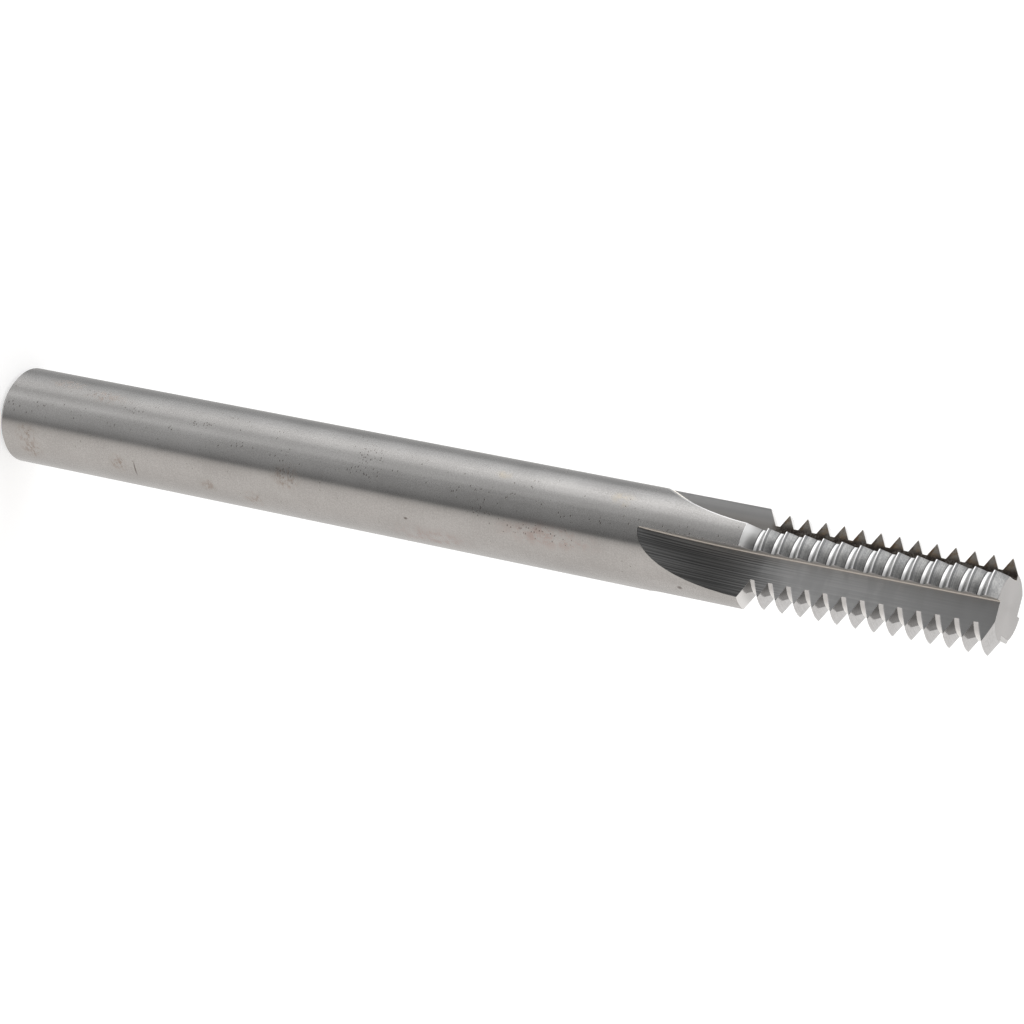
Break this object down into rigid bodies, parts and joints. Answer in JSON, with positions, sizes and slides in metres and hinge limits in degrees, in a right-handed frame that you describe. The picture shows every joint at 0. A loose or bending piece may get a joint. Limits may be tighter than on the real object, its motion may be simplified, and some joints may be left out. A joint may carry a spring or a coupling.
{
  "type": "thread mill",
  "caption": "Solid carbide thread mill: a plain round shank and straight flutes between rows of ground V teeth, for milling internal threads.",
  "frame": {"origin": "centre of the shank's end face", "axes": "+Z along the tool's axis, from the shank end to the cutting end; +X through one of the cutting edges"},
  "size_m": [0.008, 0.008, 0.0889],
  "materials": {
    "ground_carbide": "ground tungsten carbide, uncoated, with fine grinding marks"
  },
  "bodies": {
    "root": {"thread_mill": "ground_carbide"}
  },
  "joints": []
}
